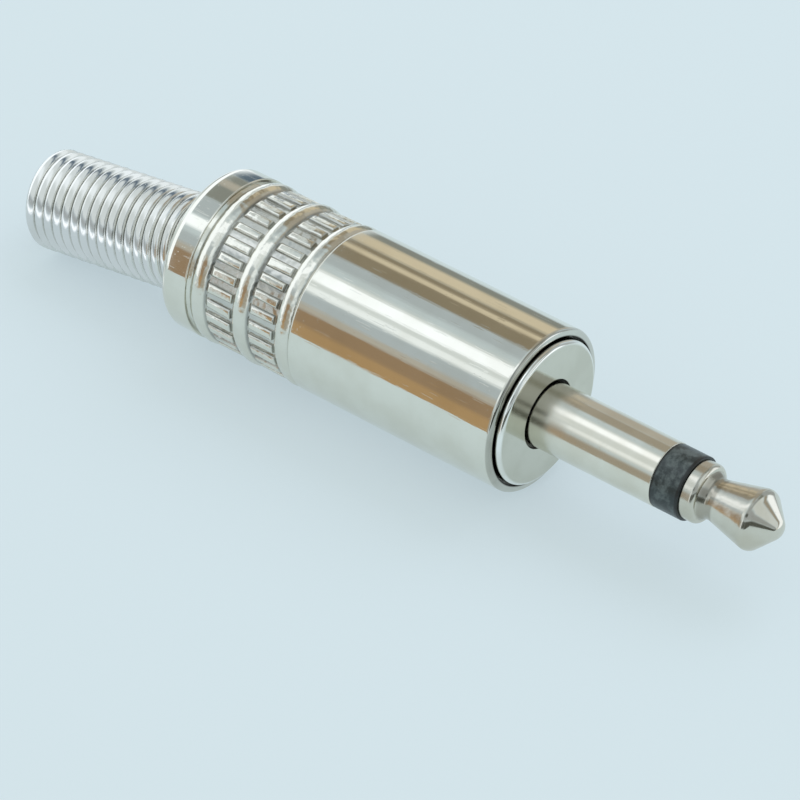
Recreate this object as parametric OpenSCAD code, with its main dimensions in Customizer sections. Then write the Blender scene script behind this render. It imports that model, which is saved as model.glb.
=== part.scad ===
// Mono jack plug for a 3.5 mm socket: a screw-on metal shell with a knurled grip,
// a spring as strain relief, and a two-pole plug pin with its solder tags.
// The plug's axis is X, with the tip towards +X. The origin is on that axis, in the
// front face of the collar. The plug lies on its shell, +Z up. Lengths are in millimetres.

/* [Plug pin] */
// Diameter of the sleeve contact, the size of the socket
pin_d = 3.5; // [3.3:0.05:3.7]
// Length of the sleeve contact in front of the collar
sleeve_len = 7.5; // [6:0.1:9]
// Diameter of the sleeve contact where it passes through the collar
shank_d = 3; // [2.7:0.1:3.2]
// Length of the insulating ring between sleeve and tip
ring_len = 1.66; // [1:0.02:2.5]
// How much smaller than the sleeve the insulating ring is, in radius
ring_step = 0.02; // [0:0.01:0.1]
// Diameter of the rod that carries the tip
rod_d = 1.6; // [1.2:0.1:1.8]
// Wall of the insulating tube round the rod
tube_wall = 0.3; // [0.2:0.05:0.4]
// Length of the riveted heads behind the tags
rivet_len = 0.35; // [0.2:0.05:0.6]
// How far a riveted head stands out over its hole
rivet_lip = 0.25; // [0.15:0.05:0.35]

/* [Tip] */
// Length of the tip in front of the insulating ring
tip_len = 5.12; // [4.5:0.02:5.6]
// Diameter of the tip at its widest
tip_d = 3.32; // [3:0.02:3.4]
// Diameter of the round shoulder behind the neck
shoulder_d = 3.18; // [2.8:0.02:3.4]
// Length of the round shoulder
shoulder_len = 0.8; // [0.6:0.02:1]
// Rounding of the shoulder's front edge
shoulder_round = 0.3; // [0.1:0.05:0.4]
// Diameter of the neck that the socket's spring holds
neck_d = 2.2; // [1.9:0.05:2.5]
// Distance from the shoulder to the narrowest place of the neck
neck_run = 0.35; // [0.2:0.05:0.6]
// Width of the neck's cylindrical floor
neck_floor = 0.2; // [0.1:0.05:0.4]
// Width of the cylindrical land at the widest place of the tip
tip_land = 0.2; // [0.1:0.05:0.4]
// Length of the nose in front of the land
nose_len = 1.28; // [1:0.02:1.6]
// Radius of the round end of the nose
nose_round = 0.7; // [0.3:0.05:0.8]

/* [Collar] */
// Thickness of the collar's disc
collar_t = 0.75; // [0.6:0.05:1.2]
// How far the disc stands out of the shell's mouth
collar_proud = 0.36; // [0.1:0.02:0.5]
// Rounding of the disc's front edge
collar_round = 0.24; // [0.05:0.01:0.3]
// Width of the ring-shaped relief round the sleeve
relief_w = 0.22; // [0.1:0.02:0.4]
// Depth of that relief, down to the seat of the sleeve
relief_depth = 0.18; // [0.1:0.01:0.3]
// Length of the threaded plug body
thread_len = 4.4; // [3:0.1:6]
// Width of the undercut behind the disc
undercut_w = 0.4; // [0.2:0.05:0.6]
// Depth of the undercut
undercut_depth = 0.25; // [0.1:0.05:0.4]
// Chamfer at the end of the thread
thread_chamfer = 0.3; // [0.1:0.05:0.5]

/* [Shell] */
// Diameter of the shell
shell_d = 9; // [8.8:0.05:10]
// Length of the shell
shell_len = 21.5; // [20:0.1:26]
// Wall of the mouth round the collar's disc
lip_wall = 0.42; // [0.35:0.01:0.55]
// Wall of the threaded stretch, to the thread's mean diameter
thread_wall = 0.66; // [0.6:0.01:0.75]
// Wall of the bore behind the thread
bore_wall = 0.8; // [0.76:0.01:0.9]
// Length of plain bore between the thread's end and the liner
thread_runout = 0.45; // [0.2:0.05:1]
// Thickness of the shell's rear wall
rear_wall = 1; // [0.8:0.05:1.3]
// How far the rear wall reaches in from the bore, to the hole for the spring
rear_lip = 0.4; // [0.35:0.01:0.5]
// Rounding of the rear edge
rear_round = 0.55; // [0.2:0.05:0.7]
// Rounding of the hole's edge
hole_round = 0.15; // [0.05:0.05:0.3]
// Rounding of the mouth's outer edge
mouth_round = 0.2; // [0.05:0.05:0.3]

/* [Grip] */
// Width of the plain flange at the rear end
flange_w = 1.8; // [1.5:0.02:2.5]
// Width of the groove in front of the flange
groove_w = 0.14; // [0.1:0.02:0.4]
// Width of each smooth bead
bead_w = 1.12; // [0.8:0.02:1.3]
// Width of each ribbed band
band_w = 1.68; // [1:0.02:2]
// Depth of the grip's ground below the shell's surface
grip_depth = 0.3; // [0.15:0.05:0.4]
// Height of the ribs over that ground
rib_h = 0.2; // [0.1:0.01:0.28]
// Number of ribs round the shell
rib_count = 30; // [20:1:40]
// Number of ribbed bands, with a bead on each side
band_count = 2; // [1:1:2]
// Share of the rib pitch that a rib's foot takes
rib_foot = 0.62; // [0.4:0.02:0.8]
// Share of the rib pitch that a rib's top takes
rib_top = 0.4; // [0.2:0.02:0.6]

/* [Spring] */
// Diameter of the spring wire
wire_d = 0.58; // [0.4:0.02:0.6]
// Rise of one turn
spring_pitch = 0.615; // [0.61:0.005:0.9]
// Length of spring outside the shell
spring_out = 11.1; // [6:0.1:16]
// Angle by which the spring hangs down
spring_droop = 7.6; // [0:0.1:8]
// Angle by which the spring leans to the side
spring_lean = 2; // [0:0.1:3]
// How far the spring's axis lies below the shell's at the rear face
spring_sag = 0.35; // [0:0.01:0.4]
// Angle at which the wire starts, about the spring's axis
spring_start = -70; // [-180:5:180]
// Number of wide turns
flare_turns = 1.5; // [1:0.25:2.5]
// Distance from the rear wall to the place where the spring widens
flare_gap = 0.45; // [0.35:0.05:0.8]

/* [Liner] */
// Gap between the liner's end and the spring's wide turns
liner_gap = 0.29; // [0.1:0.01:1]
// Wall of the insulating liner
liner_wall = 0.3; // [0.2:0.02:0.35]

/* [Tags] */
// Thickness of the tag metal
tag_t = 0.4; // [0.3:0.05:0.5]
// Gap between the ring of the sleeve tag and the liner
sleeve_ring_gap = 0.36; // [0.1:0.02:0.6]
// Width of the sleeve tag's strip
strip_w = 2.2; // [1.6:0.1:2.6]
// Length of the sleeve tag, clamp included
sleeve_tag_len = 7.8; // [6:0.1:9]
// Length of the cable clamp
clamp_len = 2.6; // [1.5:0.1:3.5]
// Gap between the clamp's round back and the liner
clamp_gap = 0.76; // [0.5:0.02:1]
// Height of the clamp's ears over the axis
ear_h = 0.9; // [0.3:0.1:1.4]
// Angle by which the two tags are turned about the axis
tag_turn = 45; // [-90:5:90]
// Inner radius of the bends
bend_r = 0.3; // [0.1:0.05:0.5]
// Thickness of the rear insulating washer
washer_t = 0.8; // [0.5:0.05:1.2]
// Diameter of the rear insulating washer
washer_d = 3.8; // [3.4:0.1:4]
// Diameter of the ring of the tip tag
tip_ring_d = 3.2; // [2.8:0.1:3.4]
// Length of the tip tag
tip_tag_len = 3.3; // [2.5:0.1:4]
// Width of the tip tag's lug
lug_w = 1.8; // [1.4:0.1:2.2]
// Diameter of the wire hole in the lug
wire_hole_d = 0.9; // [0.5:0.1:1]

/* [Fits] */
// Radial play of the shell's thread
thread_play = 0.04; // [0.02:0.01:0.08]
// Gap round the collar's disc in the shell's mouth
mouth_gap = 0.1; // [0.04:0.01:0.15]
// Gap between the disc and its seat in the shell
seat_gap = 0.02; // [0.01:0.01:0.05]
// Radial gap of pieces that are pushed together
press_gap = 0.03; // [0.02:0.01:0.05]
// Radial play of the liner in the shell
liner_play = 0.04; // [0.02:0.01:0.08]
// Radial play of the spring in the hole of the rear wall
hole_play = 0.58; // [0.5:0.01:0.7]
// Radial play of the spring's wide turns in the bore
flare_play = 0.2; // [0.1:0.01:0.25]

/* [Hidden] */
// Faces of a turned surface
turn_faces = 96;
// Sides of the spring wire's section
wire_sides = 8;
// Steps in one turn of the spring
turn_steps = 20;
// Overlap of the solids that make up one piece
lap = 0.05;
// Depth by which a cutting tool runs past a face
past = 0.5;

pin_r = pin_d / 2;
shank_r = shank_d / 2;
rod_r = rod_d / 2;
shell_r = shell_d / 2;

// Places along the axis, from the tip to the rear
ring_x = sleeve_len;
tip_x = ring_x + ring_len;
sleeve_seat_x = -relief_depth;
mouth_x = -collar_proud;
disc_back_x = -collar_t;
collar_back_x = disc_back_x - thread_len;
sleeve_tag_x = collar_back_x - tag_t;
sleeve_end_x = sleeve_tag_x - rivet_len;
washer_x = sleeve_end_x - washer_t;
tip_tag_x = washer_x - tag_t;
rod_end_x = tip_tag_x - rivet_len;
rear_x = mouth_x - shell_len;
rear_wall_x = rear_x + rear_wall;
thread_bore_x = collar_back_x - thread_runout;
liner_x = thread_bore_x - liner_play;

// Radii that follow from the pieces inside them
tube_in_r = rod_r + press_gap;
tube_r = tube_in_r + tube_wall;
sleeve_in_r = tube_r + press_gap;
shank_hole_r = shank_r + press_gap;
mouth_r = shell_r - lip_wall;
collar_r = mouth_r - mouth_gap;
thread_bore_r = shell_r - thread_wall;
thread_r = thread_bore_r - thread_play;
bore_r = shell_r - bore_wall;
rear_hole_r = bore_r - rear_lip;
spring_r = rear_hole_r - hole_play;
flare_outer_r = bore_r - flare_play;
liner_r = bore_r - liner_play;
liner_in_r = liner_r - liner_wall;
sleeve_ring_r = liner_in_r - sleeve_ring_gap;
clamp_r = liner_in_r - clamp_gap;
ground_r = shell_r - grip_depth;
rib_r = ground_r + rib_h;

// Places of the grip's beads and bands
grip_x = rear_x + flange_w + groove_w;
grip_step = bead_w + band_w;
barrel_x = grip_x + band_count * grip_step + bead_w;

// Wire path of the spring: wide turns inside, one widening turn, then the straight body
coil_r = spring_r - wire_d / 2;
flare_r = flare_outer_r - wire_d / 2;
taper_turns = 1;
inner_run = rear_wall + flare_gap + (taper_turns + flare_turns) * spring_pitch;
spring_turns = (inner_run + spring_out) / spring_pitch;
path_steps = ceil(spring_turns * turn_steps);
// Reach of the tilted wide turns along the shell's axis, and the liner's end in front of them
flare_reach = inner_run + wire_d / 2 + flare_outer_r * sin(spring_droop);
liner_end_x = rear_x + flare_reach + liner_gap;

function wide_share(t) = 1 - min(1, max(0, (t - flare_turns) / taper_turns));
function path_r(t) = coil_r + (flare_r - coil_r) * wide_share(t);
function path_z(t) = spring_pitch * t - inner_run;
function wire_ring(t) = [
    for (k = [0:wire_sides - 1])
        let (a = 360 * k / wire_sides, r = path_r(t) + wire_d / 2 * cos(a))
            [r * cos(360 * t), r * sin(360 * t), path_z(t) + wire_d / 2 * sin(a)]
];
function ring_point(i, k) = i * wire_sides + k % wire_sides;

// Outline of a ribbed band: flat-topped ribs with sloping sides
function polar(r, a) = [r * cos(a), r * sin(a)];
rib_pitch = 360 / rib_count;
knurl_outline = [
    for (i = [0:rib_count - 1])
        let (a = i * rib_pitch)
            each [
                polar(ground_r - lap, a - rib_foot * rib_pitch / 2),
                polar(rib_r, a - rib_top * rib_pitch / 2),
                polar(rib_r, a + rib_top * rib_pitch / 2),
                polar(ground_r - lap, a + rib_foot * rib_pitch / 2)
            ]
];

// Radius of a bead's section, from its width and its height over the ground
bead_r = (pow(bead_w / 2, 2) + pow(grip_depth, 2)) / (2 * grip_depth);
// How far a rib runs into a bead, to just inside the place where their tops meet
rib_bury = bead_w / 2 - sqrt(pow(bead_r, 2) - pow(bead_r - shell_r + rib_r, 2)) + lap / 2;

// Turns a drawing of radius against axial place into a solid round the X axis
module turned() {
    rotate([0, 90, 0])
        rotate_extrude($fn = turn_faces)
            children();
}

// Drawing of a plain stretch from x0 to x1, between two radii
module stretch(x0, x1, r, r_in = 0) {
    translate([r_in, x0])
        square([r - r_in, x1 - x0]);
}

// Drawing of a stretch whose outer edge is rounded at x1, which may lie before x0
module rounded_stretch(x0, x1, r, edge) {
    way = x1 > x0 ? 1 : -1;
    stretch(min(x0, x1 - way * edge), max(x0, x1 - way * edge), r);
    stretch(min(x0, x1), max(x0, x1), r - edge);
    translate([r - edge, x1 - way * edge])
        circle(edge, $fn = turn_faces);
}

// Cylinder on the X axis from x0 to x1
module rod_x(x0, x1, r) {
    translate([x0, 0, 0])
        rotate([0, 90, 0])
            cylinder(h = x1 - x0, r = r, $fn = turn_faces);
}

// Straight ribs of one band that starts at x0, with their ends buried in the beads
module ribs(x0) {
    translate([x0 - rib_bury, 0, 0])
        rotate([0, 90, 0])
            linear_extrude(band_w + 2 * rib_bury)
                polygon(knurl_outline);
}

// Smooth bead that starts at x0
module bead(x0) {
    turned()
        translate([shell_r - bead_r, x0 + bead_w / 2])
            circle(bead_r, $fn = turn_faces);
}

module shell() {
    color("gainsboro")
        difference() {
            union() {
                turned()
                    rounded_stretch(rear_x + flange_w, rear_x, shell_r, rear_round);
                rod_x(rear_x + rear_round, barrel_x + lap, ground_r);
                for (i = [0:band_count])
                    bead(grip_x + i * grip_step);
                for (i = [0:band_count - 1])
                    ribs(grip_x + bead_w + i * grip_step);
                turned()
                    rounded_stretch(barrel_x, mouth_x, shell_r, mouth_round);
            }
            rod_x(rear_wall_x, mouth_x + past, bore_r);
            rod_x(thread_bore_x, mouth_x + past, thread_bore_r);
            rod_x(disc_back_x - seat_gap, mouth_x + past, mouth_r);
            rod_x(rear_x - past, rear_wall_x + past, rear_hole_r);
            turned()
                difference() {
                    stretch(rear_x - past, rear_x + hole_round, rear_hole_r + hole_round);
                    translate([rear_hole_r + hole_round, rear_x + hole_round])
                        circle(hole_round, $fn = turn_faces);
                }
        }
}

module strain_relief_spring() {
    last = path_steps;
    points = [for (i = [0:last]) each wire_ring(spring_turns * i / last)];
    sides = [
        for (i = [0:last - 1], k = [0:wire_sides - 1])
            each [
                [ring_point(i, k), ring_point(i + 1, k + 1), ring_point(i + 1, k)],
                [ring_point(i, k), ring_point(i, k + 1), ring_point(i + 1, k + 1)]
            ]
    ];
    ends = [
        [for (k = [0:wire_sides - 1]) ring_point(0, wire_sides - 1 - k)],
        [for (k = [0:wire_sides - 1]) ring_point(last, k)]
    ];
    color("silver")
        translate([rear_x, 0, -spring_sag])
            rotate([0, -90 - spring_droop, spring_lean])
                rotate(spring_start)
                    polyhedron(points, concat(sides, ends));
}

module insulating_liner() {
    color("ivory")
        turned()
            stretch(liner_end_x, liner_x, liner_r, liner_in_r);
}

module front_collar() {
    color("lightgrey")
        difference() {
            turned() {
                rounded_stretch(disc_back_x, 0, collar_r, collar_round);
                stretch(disc_back_x - undercut_w, disc_back_x, thread_r - undercut_depth);
                stretch(collar_back_x + thread_chamfer, disc_back_x - undercut_w, thread_r);
                polygon([
                    [0, collar_back_x],
                    [thread_r - thread_chamfer, collar_back_x],
                    [thread_r, collar_back_x + thread_chamfer],
                    [0, collar_back_x + thread_chamfer]
                ]);
            }
            rod_x(collar_back_x - past, past, shank_hole_r);
            rod_x(sleeve_seat_x, past, pin_r + relief_w);
        }
}

module sleeve_contact() {
    color("lightgrey")
        difference() {
            union() {
                rod_x(sleeve_seat_x, ring_x, pin_r);
                rod_x(sleeve_end_x, sleeve_seat_x + lap, shank_r);
                rod_x(sleeve_end_x, sleeve_tag_x, shank_hole_r + rivet_lip);
            }
            rod_x(sleeve_end_x - past, ring_x + past, sleeve_in_r);
        }
}

module front_insulator() {
    color("dimgrey")
        turned() {
            stretch(ring_x, tip_x, pin_r - ring_step, tube_in_r);
            stretch(sleeve_end_x, ring_x + lap, tube_r, tube_in_r);
        }
}

module tip_contact() {
    shoulder_x = tip_x + shoulder_len;
    neck_x = shoulder_x + neck_run;
    land_x = tip_x + tip_len - nose_len - tip_land;
    nose_x = land_x + tip_land;
    // The nose's straight side ends where it touches the round end
    round_x = tip_x + tip_len - nose_round;
    side_angle = atan2(round_x - nose_x, tip_d / 2);
    reach = norm([round_x - nose_x, tip_d / 2]);
    touch_angle = acos(nose_round / reach) - side_angle;
    color("lightgrey") {
        turned() {
            rounded_stretch(tip_x, shoulder_x, shoulder_d / 2, shoulder_round);
            polygon([
                [0, tip_x],
                [shoulder_d / 2 - shoulder_round, tip_x],
                [shoulder_d / 2 - shoulder_round, shoulder_x],
                [neck_d / 2, neck_x],
                [neck_d / 2, neck_x + neck_floor],
                [tip_d / 2, land_x],
                [tip_d / 2, nose_x],
                [nose_round * cos(touch_angle), round_x + nose_round * sin(touch_angle)],
                [0, round_x]
            ]);
            intersection() {
                translate([0, round_x])
                    circle(nose_round, $fn = turn_faces);
                stretch(round_x - nose_round, round_x + nose_round, nose_round);
            }
            stretch(rod_end_x, tip_x + lap, rod_r);
            stretch(rod_end_x, tip_tag_x, tube_in_r + rivet_lip);
        }
    }
}

module rear_insulator() {
    color("saddlebrown")
        turned()
            stretch(washer_x, sleeve_end_x, washer_d / 2, tube_in_r);
}

// Side drawing of a strip that leaves a ring's face at x1, bends and runs back to x0.
// The strip's outer face lies at height h from the axis.
module bent_strip(x0, x1, h) {
    turn_r = bend_r + tag_t;
    translate([x1 - tag_t, 0])
        square([tag_t, h - turn_r]);
    translate([x0, h - tag_t])
        square([x1 - turn_r - x0, tag_t]);
    intersection() {
        translate([x1 - turn_r, h - turn_r])
            difference() {
                circle(turn_r, $fn = turn_faces);
                circle(bend_r, $fn = turn_faces);
            }
        translate([x1 - turn_r, h - turn_r])
            square(turn_r);
    }
}

// Strip of a width, standing on the side drawing given
module strip(width) {
    translate([0, width / 2, 0])
        rotate([90, 0, 0])
            linear_extrude(width)
                children();
}

module sleeve_tag() {
    clamp_x = collar_back_x - sleeve_tag_len;
    clamp_in = clamp_r - tag_t;
    color("gold")
        rotate([180 + tag_turn, 0, 0]) {
            difference() {
                union() {
                    rod_x(sleeve_tag_x, collar_back_x, sleeve_ring_r);
                    strip(strip_w)
                        bent_strip(clamp_x, collar_back_x, clamp_r);
                }
                rod_x(sleeve_tag_x - past, collar_back_x + past, shank_hole_r);
            }
            difference() {
                union() {
                    rod_x(clamp_x, clamp_x + clamp_len, clamp_r);
                    translate([clamp_x, -clamp_r, -ear_h])
                        cube([clamp_len, 2 * clamp_r, ear_h]);
                }
                rod_x(clamp_x - past, clamp_x + clamp_len + past, clamp_in);
                translate([clamp_x - past, -clamp_in, -2 * clamp_r])
                    cube([clamp_len + 2 * past, 2 * clamp_in, 2 * clamp_r]);
                translate([clamp_x - past, -2 * clamp_r, -2 * clamp_r - ear_h])
                    cube([clamp_len + 2 * past, 4 * clamp_r, 2 * clamp_r]);
            }
        }
}

module tip_tag() {
    lug_x = washer_x - tip_tag_len;
    color("gold")
        rotate([tag_turn, 0, 0])
            difference() {
                union() {
                    rod_x(tip_tag_x, washer_x, tip_ring_d / 2);
                    strip(lug_w)
                        bent_strip(lug_x + lug_w / 2, washer_x, tip_ring_d / 2);
                    translate([lug_x + lug_w / 2, 0, tip_ring_d / 2 - tag_t])
                        cylinder(h = tag_t, r = lug_w / 2, $fn = turn_faces);
                }
                rod_x(tip_tag_x - past, washer_x + past, tube_in_r);
                translate([lug_x + lug_w / 2, 0, 0])
                    cylinder(h = tip_ring_d, r = wire_hole_d / 2, $fn = turn_faces);
            }
}

shell();
strain_relief_spring();
insulating_liner();
front_collar();
sleeve_contact();
front_insulator();
tip_contact();
rear_insulator();
sleeve_tag();
tip_tag();
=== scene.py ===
"""Mono jack plug for a 3.5 mm socket, dressed for its picture.

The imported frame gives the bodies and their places. The turned, knurled and wound pieces are
modelled again in finer detail at the frame's own sizes; each rides on its body and stands for
its solid. The tags, the washer and the liner keep their solids and get their finishes.
The classes hold millimetres and degrees, and the finished meshes are in metres. X runs along
the plug towards the tip, Z is up.
"""

import logging
import math
from abc import ABC, abstractmethod
from dataclasses import dataclass, field
from enum import Enum
from typing import Callable, NamedTuple, Sequence

import bmesh
import bpy
from mathutils import Matrix, Vector


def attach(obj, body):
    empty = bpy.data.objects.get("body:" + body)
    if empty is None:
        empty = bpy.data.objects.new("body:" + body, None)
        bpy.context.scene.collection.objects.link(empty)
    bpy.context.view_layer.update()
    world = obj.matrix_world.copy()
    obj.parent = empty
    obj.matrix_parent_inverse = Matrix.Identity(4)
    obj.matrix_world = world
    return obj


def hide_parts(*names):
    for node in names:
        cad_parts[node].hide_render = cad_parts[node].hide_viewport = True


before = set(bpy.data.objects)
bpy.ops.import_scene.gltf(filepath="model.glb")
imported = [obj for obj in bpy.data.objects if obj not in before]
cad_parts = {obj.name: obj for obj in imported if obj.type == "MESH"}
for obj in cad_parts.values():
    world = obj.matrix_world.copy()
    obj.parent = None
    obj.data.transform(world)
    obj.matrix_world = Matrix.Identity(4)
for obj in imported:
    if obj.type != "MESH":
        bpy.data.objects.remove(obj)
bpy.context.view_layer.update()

LOG = logging.getLogger("jack_plug")

Colour = tuple[float, float, float]
Corner = tuple[float, float, float]
Place = tuple[float, float, float]
Span = tuple[float, float]
Profile = list[Vector]
Socket = bpy.types.NodeSocket
Feed = Socket | float | tuple[float, ...]
Inputs = dict[int | str, Feed]

MM = 0.001
MICRON = 0.001 * MM
ORIGIN: Place = (0.0, 0.0, 0.0)
AXIS: Place = (1.0, 0.0, 0.0)
UNIT: Span = (0.0, 1.0)
ALL_ROUND: Span = (-180.0, 180.0)
EVERYWHERE: Span = (-500.0, 500.0)

WELD_GAP = 0.0008
ROUND_ANGLE = 32.0
STRAIGHT = math.radians(89.5)
ROUND_SHARE = 0.49
GUARD_SHARE = 0.495


class Body(Enum):
    """Bodies of the frame that pieces ride on."""

    PLUG = "plug"
    SPRING = "spring"
    SHELL = "shell"


class Slot(Enum):
    """Material slots of the record, one for each kind of new piece."""

    SHELL = "shell_nickel"
    SPRING = "spring_wire"
    COLLAR = "collar_nickel"
    CONTACT = "contact_nickel"
    INSULATOR = "black_insulator"


class Stock(Enum):
    """What a workpiece is started from."""

    PLATE = "plate"
    BLOCK = "block"


class Lay(Enum):
    """Which way the fine lines of a metal surface run."""

    ROUND = "round the axis"
    ALONG = "along the axis"


def clear_selection() -> None:
    """Leave edit mode and deselect every object."""
    if bpy.context.object is not None and bpy.context.object.mode != "OBJECT":
        bpy.ops.object.mode_set(mode="OBJECT")
    bpy.ops.object.select_all(action="DESELECT")


def make_active(obj: bpy.types.Object) -> None:
    """Select one object alone and make it the active one.

    Args:
        obj: The object.
    """
    clear_selection()
    obj.select_set(True)
    bpy.context.view_layer.objects.active = obj


def arc(centre: Span, radius: float, start: float, end: float, steps: int) -> Profile:
    """Lay out a round of a profile.

    Args:
        centre: Axial place and radius of the round's centre.
        radius: Radius of the round.
        start: Angle of the first point, 0 towards the tip and 90 outwards.
        end: Angle of the last point.
        steps: Number of stretches in the round.

    Returns:
        The points from start to end.
    """
    x, r = centre
    angles = [math.radians(start + (end - start) * i / steps) for i in range(steps + 1)]
    return [Vector((x + radius * math.cos(angle), r + radius * math.sin(angle))) for angle in angles]


def rounded(corners: Sequence[Corner], step: float = 9.0, guard: float = 0.04) -> Profile:
    """Round the corners of a profile.

    Args:
        corners: Axial place, radius and rounding of each corner. The two ends stay sharp.
        step: Turn of one stretch of a rounding.
        guard: Length of the narrow stretch on both sides of a rounding, which keeps its shading
            off the flat beside it.

    Returns:
        The profile's points with each rounding laid out as short stretches.
    """
    points = [Vector((x, r)) for x, r, _ in corners]
    profile: Profile = [points[0]]
    for i in range(1, len(points) - 1):
        here, rounding = points[i], corners[i][2]
        back, on = points[i - 1] - here, points[i + 1] - here
        half = back.angle(on) / 2 if rounding > 0 else 0.0
        if rounding <= 0 or half > STRAIGHT:
            profile.append(here)
            continue
        reach = min(rounding / math.tan(half), ROUND_SHARE * back.length, ROUND_SHARE * on.length)
        radius = reach * math.tan(half)
        middle = here + (back.normalized() + on.normalized()).normalized() * radius / math.sin(half)
        first = here + back.normalized() * reach - middle
        last = here + on.normalized() * reach - middle
        sweep = first.angle_signed(last)
        count = max(2, math.ceil(abs(math.degrees(sweep)) / step))
        begin = math.atan2(first.y, first.x)
        profile.append(here + back.normalized() * min(reach + guard, GUARD_SHARE * back.length))
        for k in range(count + 1):
            angle = begin - sweep * k / count
            profile.append(middle + Vector((math.cos(angle), math.sin(angle))) * radius)
        profile.append(here + on.normalized() * min(reach + guard, GUARD_SHARE * on.length))
    profile.append(points[-1])
    return profile


@dataclass
class Workpiece:
    """One mesh under the tools, in millimetres until it is finished."""

    name: str
    stock: Stock = Stock.PLATE
    obj: bpy.types.Object = field(init=False)

    def __post_init__(self) -> None:
        """Lay the stock on the axis and open it for work."""
        clear_selection()
        if self.stock is Stock.BLOCK:
            bpy.ops.mesh.primitive_cube_add(size=1.0, location=ORIGIN)
        else:
            bpy.ops.mesh.primitive_plane_add(size=1.0, location=ORIGIN)
        self.obj = bpy.context.active_object
        self.obj.name = self.name
        self.obj.data.name = self.name
        bpy.ops.object.mode_set(mode="EDIT")
        bpy.ops.mesh.select_mode(type="VERT")

    def draw(self, points: Sequence[Vector]) -> None:
        """Draw a line through points in space, from the stock shrunk to its first point.

        Args:
            points: The line's points. A line that ends where it began is closed.
        """
        bpy.ops.mesh.select_all(action="SELECT")
        bpy.ops.mesh.merge(type="CENTER")
        bpy.ops.transform.translate(value=points[0])
        for here, there in zip(points, points[1:]):
            bpy.ops.mesh.extrude_region_move(TRANSFORM_OT_translate={"value": there - here})

    def turn(self, profile: Profile, steps: int) -> None:
        """Draw a profile and spin it once round the plug's axis.

        Args:
            profile: Axial places and radii of the profile.
            steps: Number of faces round the axis.
        """
        self.draw([Vector((point.x, 0.0, point.y)) for point in profile])
        self.weld()
        bpy.ops.mesh.select_all(action="SELECT")
        bpy.ops.mesh.spin(steps=steps, angle=math.tau, center=ORIGIN, axis=AXIS)
        self.weld()

    def pick(self, wanted: Callable[[Vector], bool]) -> None:
        """Select the vertices at wanted places, with the edges and faces between them.

        Args:
            wanted: Test of a vertex's place.
        """
        bpy.ops.mesh.select_mode(type="VERT")
        bpy.ops.mesh.select_all(action="DESELECT")
        mesh = bmesh.from_edit_mesh(self.obj.data)
        for vertex in mesh.verts:
            vertex.select_set(wanted(vertex.co))
        mesh.select_flush(True)
        bmesh.update_edit_mesh(self.obj.data)

    def weld(self) -> None:
        """Merge doubles and point the faces outwards."""
        bpy.ops.mesh.select_all(action="SELECT")
        bpy.ops.mesh.remove_doubles(threshold=WELD_GAP)
        bpy.ops.mesh.normals_make_consistent(inside=False)

    def take_in(self, other: "Workpiece") -> None:
        """Join another workpiece into this one.

        Args:
            other: The workpiece that goes into this one.
        """
        make_active(self.obj)
        other.obj.select_set(True)
        bpy.ops.object.join()

    def finish(self, smooth: float = ROUND_ANGLE) -> bpy.types.Object:
        """Bring the mesh to metres and shade its rounds smooth.

        Args:
            smooth: Largest angle between faces that still shades as a round.

        Returns:
            The finished object, at the origin, unturned and unscaled.
        """
        make_active(self.obj)
        bpy.ops.object.mode_set(mode="EDIT")
        bpy.ops.mesh.select_all(action="SELECT")
        bpy.ops.transform.resize(value=(MM, MM, MM), center_override=ORIGIN)
        bpy.ops.object.mode_set(mode="OBJECT")
        bpy.ops.object.shade_smooth_by_angle(angle=math.radians(smooth))
        return self.obj


def turned(name: str, profile: Profile, steps: int) -> Workpiece:
    """Start a workpiece and turn it to a profile.

    Args:
        name: The piece's name.
        profile: Axial places and radii of the profile.
        steps: Number of faces round the axis.

    Returns:
        The turned workpiece.
    """
    piece = Workpiece(name)
    piece.turn(profile, steps)
    return piece


class Axial(NamedTuple):
    """A place on the plug by its run along the axis, its radius and its turn round the axis."""

    run: Socket
    radius: Socket
    turn: Socket


class Surface(NamedTuple):
    """What a finish gives to a shader: its colour, its roughness and its height in microns."""

    colour: Socket
    roughness: Socket
    relief: Socket


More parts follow.
